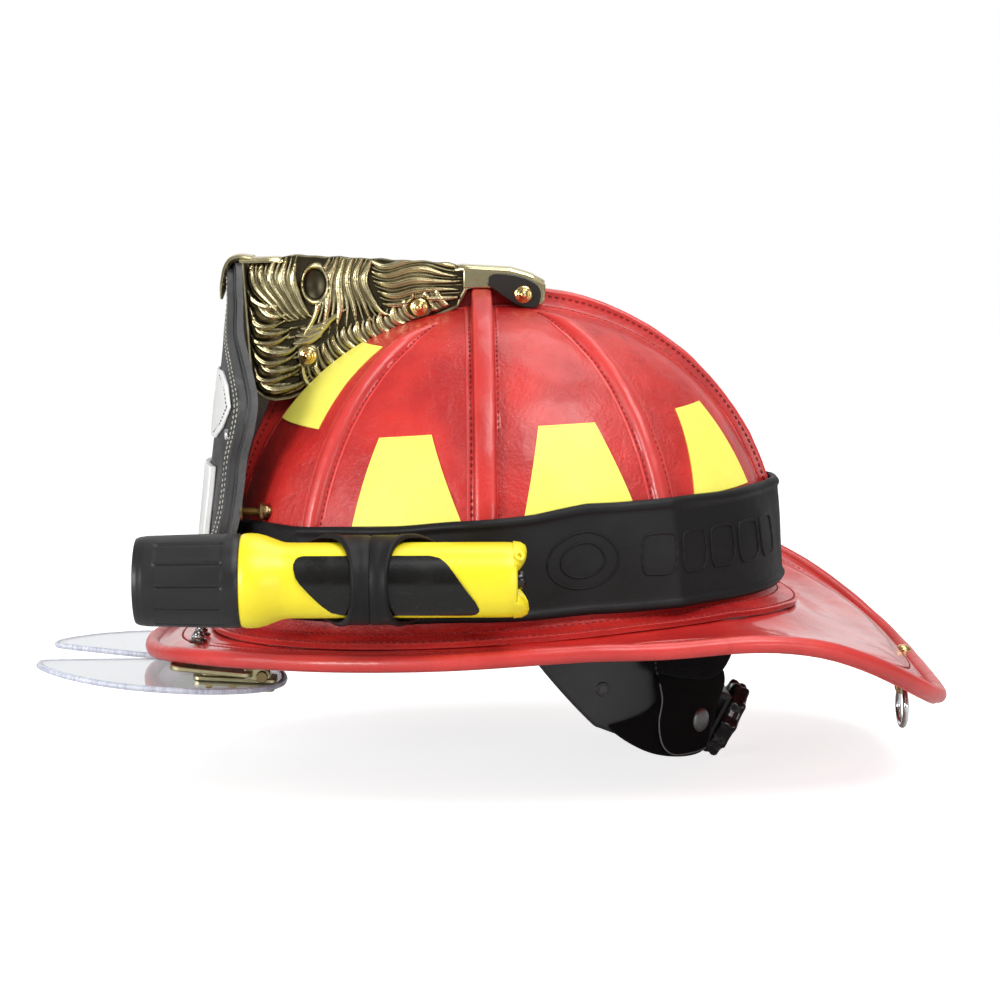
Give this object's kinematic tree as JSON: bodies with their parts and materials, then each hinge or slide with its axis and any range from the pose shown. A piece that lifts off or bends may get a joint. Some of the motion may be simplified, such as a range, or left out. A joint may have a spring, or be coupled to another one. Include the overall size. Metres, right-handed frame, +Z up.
{
  "type": "firefighter helmet",
  "caption": "Traditional red leather firefighter helmet with combed crown, wide stitched brim, brass front holder, leather front piece, flip-down eye shields and a side-mounted clip light.",
  "frame": {"origin": "centre of the underside of the crown pad, where the helmet rests on the head", "axes": "+X towards the tail of the brim, +Y to the wearer's right, +Z up"},
  "size_m": [0.4246, 0.2902, 0.2404],
  "materials": {
    "red_leather": "glossy red painted leather, creased and pebbled",
    "lime_tape": "lime-yellow retroreflective tape",
    "brass": "antique brass, dark in the recesses and polished on the ridges",
    "black_leather": "satin dark-grey leather with lighter cut edges",
    "white_leather": "satin white leather with a stitched border",
    "clear_lens": "clear polycarbonate, 3 mm thick",
    "rubber": "matte black rubber",
    "yellow_plastic": "satin yellow polymer",
    "black_plastic": "satin black polymer",
    "chrome": "polished steel",
    "foam": "black foam with a fine cell structure",
    "webbing": "black woven nylon webbing",
    "suede": "black brushed suede"
  },
  "bodies": {
    "helmet": {"brim": "red_leather", "brim_edge_roll": "red_leather", "comb_front": "red_leather", "comb_left": "red_leather", "comb_rear": "red_leather", "comb_right": "red_leather", "crown_pad": "foam", "crown_shell": "red_leather", "crown_straps": "webbing", "eyeshield_bracket_left": "brass", "eyeshield_bracket_right": "brass", "front_holder": "brass", "headband": "black_plastic", "helmet_band": "rubber", "holder_bolt_1": "brass", "holder_bolt_2": "brass", "holder_bolt_3": "brass", "impact_liner": "foam", "nape_arm_left": "black_plastic", "nape_arm_right": "black_plastic", "nape_cover_left": "suede", "nape_cover_right": "suede", "nape_pad": "suede", "ratchet_housing": "black_plastic", "reflector_front_left": "lime_tape", "reflector_front_right": "lime_tape", "reflector_front_side_left": "lime_tape", "reflector_front_side_right": "lime_tape", "reflector_rear_left": "lime_tape", "reflector_rear_right": "lime_tape", "reflector_rear_side_left": "lime_tape", "reflector_rear_side_right": "lime_tape", "rib_front_left": "red_leather", "rib_front_right": "red_leather", "rib_rear_left": "red_leather", "rib_rear_right": "red_leather", "ring_staple": "brass", "shield_backing": "black_leather", "shield_face": "black_leather", "shield_name_panel": "white_leather", "shield_number_bars": "white_leather", "shield_standoff_left": "brass", "shield_standoff_right": "brass", "sweatband": "suede"},
    "eyeshield_left": {"eyeshield_clip_left": "black_plastic", "eyeshield_lens_left": "clear_lens"},
    "eyeshield_right": {"eyeshield_clip_right": "black_plastic", "eyeshield_lens_right": "clear_lens"},
    "knob": {"ratchet_pinion": "black_plastic", "ratchet_knob": "black_plastic"},
    "rack_left": {"rack_left": "black_plastic"},
    "rack_right": {"rack_right": "black_plastic"},
    "hang_ring": {"hang_ring": "chrome"},
    "light": {"light_body": "yellow_plastic", "light_label": "black_plastic", "light_cells": "black_plastic"},
    "light_head": {"light_head": "black_plastic", "light_front_lens": "clear_lens", "light_reflector": "chrome"},
    "light_switch": {"light_switch": "black_plastic"}
  },
  "joints": [
    {"name": "eyeshield_left_hinge", "type": "hinge", "parent": "helmet", "child": "eyeshield_left", "pos_m": [-0.11, -0.046, -0.126], "axis": [0, -1, 0], "range_deg": [0, 95]},
    {"name": "eyeshield_right_hinge", "type": "hinge", "parent": "helmet", "child": "eyeshield_right", "pos_m": [-0.11, 0.046, -0.126], "axis": [0, -1, 0], "range_deg": [0, 95]},
    {"name": "ratchet_knob_turn", "type": "hinge", "parent": "helmet", "child": "knob", "pos_m": [0.1, 0, -0.154], "axis": [0.89, 0, -0.456], "range_deg": [-150, 150]},
    {"name": "rack_left_slide", "type": "hinge", "parent": "helmet", "child": "rack_left", "pos_m": [0.0377, 0, -0.1221], "axis": [0.456, 0, 0.89], "range_deg": [-13, 13]},
    {"name": "rack_right_slide", "type": "hinge", "parent": "helmet", "child": "rack_right", "pos_m": [0.0377, 0, -0.1221], "axis": [0.456, 0, 0.89], "range_deg": [-13, 13]},
    {"name": "hang_ring_swing", "type": "hinge", "parent": "helmet", "child": "hang_ring", "pos_m": [0.195, 0, -0.1435], "axis": [0, 1, 0], "range_deg": [-40, 60]},
    {"name": "light_slide", "type": "slide", "parent": "helmet", "child": "light", "axis": [-1, 0, 0], "range_m": [0, 0.08]},
    {"name": "light_head_turn", "type": "hinge", "parent": "light", "child": "light_head", "pos_m": [-0.134, -0.132, -0.0696], "axis": [1, 0, 0], "range_deg": [0, 360]},
    {"name": "light_switch_press", "type": "slide", "parent": "light", "child": "light_switch", "axis": [-1, 0, 0], "range_m": [0, 0.0012]}
  ],
  "couplings": [
    {"joint": "rack_left_slide", "follows": "ratchet_knob_turn", "ratio": -0.085714},
    {"joint": "rack_right_slide", "follows": "ratchet_knob_turn", "ratio": 0.085714}
  ]
}
